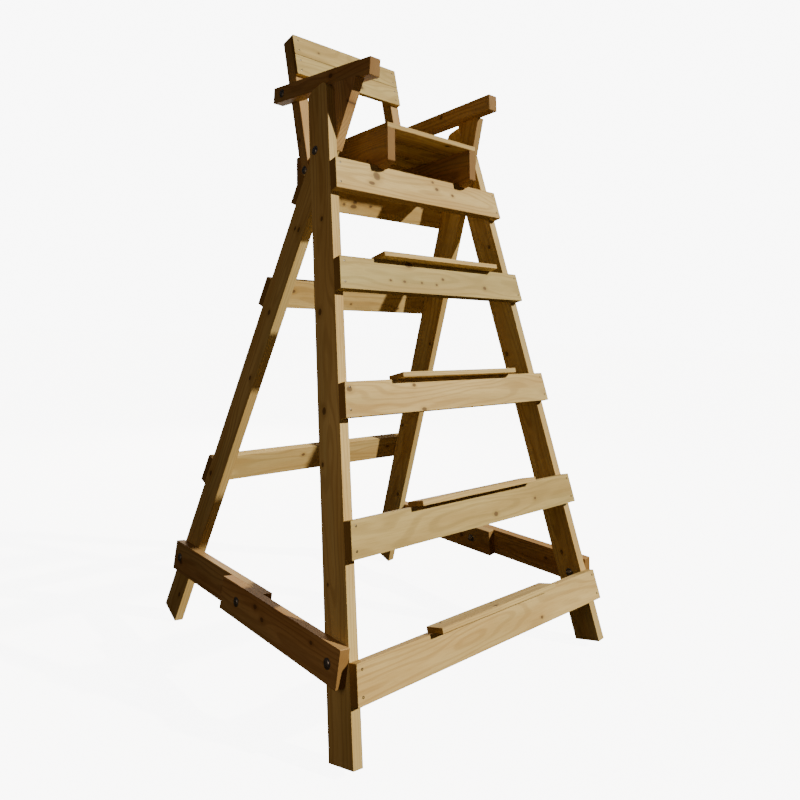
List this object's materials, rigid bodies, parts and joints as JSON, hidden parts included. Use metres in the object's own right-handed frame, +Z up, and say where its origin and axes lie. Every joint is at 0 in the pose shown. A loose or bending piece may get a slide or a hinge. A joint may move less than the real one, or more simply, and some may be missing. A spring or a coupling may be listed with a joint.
{
  "type": "timber lifeguard chair",
  "caption": "Tall free-standing timber lifeguard chair: an A-frame of bolted planks with a front ladder of boards and treads, side spreaders and an open seat with armrests and a leaning back.",
  "frame": {"origin": "on the ground, at the centre of the overall width and depth, midway between the four feet", "axes": "+Z up; -Y is the front, the side with the ladder; +X to the right of a person who faces the ladder"},
  "size_m": [1.6486, 1.723, 3.1047],
  "materials": {
    "plank_timber": "sawn and planed pine, pressure treated, weathered a little, matt",
    "seat_frame_timber": "planed pine, browner, matt"
  },
  "bodies": {
    "root": {"front_leg_left": "plank_timber", "front_leg_right": "plank_timber", "rear_leg_left": "plank_timber", "rear_leg_right": "plank_timber", "front_board_1": "plank_timber", "front_board_2": "plank_timber", "front_board_3": "plank_timber", "front_board_4": "plank_timber", "front_board_5": "plank_timber", "tread_1": "plank_timber", "tread_2": "plank_timber", "tread_3": "plank_timber", "tread_4": "plank_timber", "rear_board_1": "plank_timber", "rear_board_2": "plank_timber", "rear_board_3": "plank_timber", "spreader_front_left": "plank_timber", "spreader_front_right": "plank_timber", "spreader_rear_left": "plank_timber", "spreader_rear_right": "plank_timber", "seat_cheek_left": "seat_frame_timber", "seat_cheek_right": "seat_frame_timber", "seat_plank_1": "plank_timber", "seat_plank_2": "plank_timber", "seat_plank_3": "plank_timber", "seat_plank_4": "plank_timber", "seat_plank_5": "plank_timber", "back_post_left": "seat_frame_timber", "back_post_right": "seat_frame_timber", "back_board_1": "plank_timber", "back_board_2": "plank_timber", "armrest_left": "seat_frame_timber", "armrest_right": "seat_frame_timber", "bracket_left": "seat_frame_timber", "bracket_right": "seat_frame_timber"}
  },
  "joints": []
}
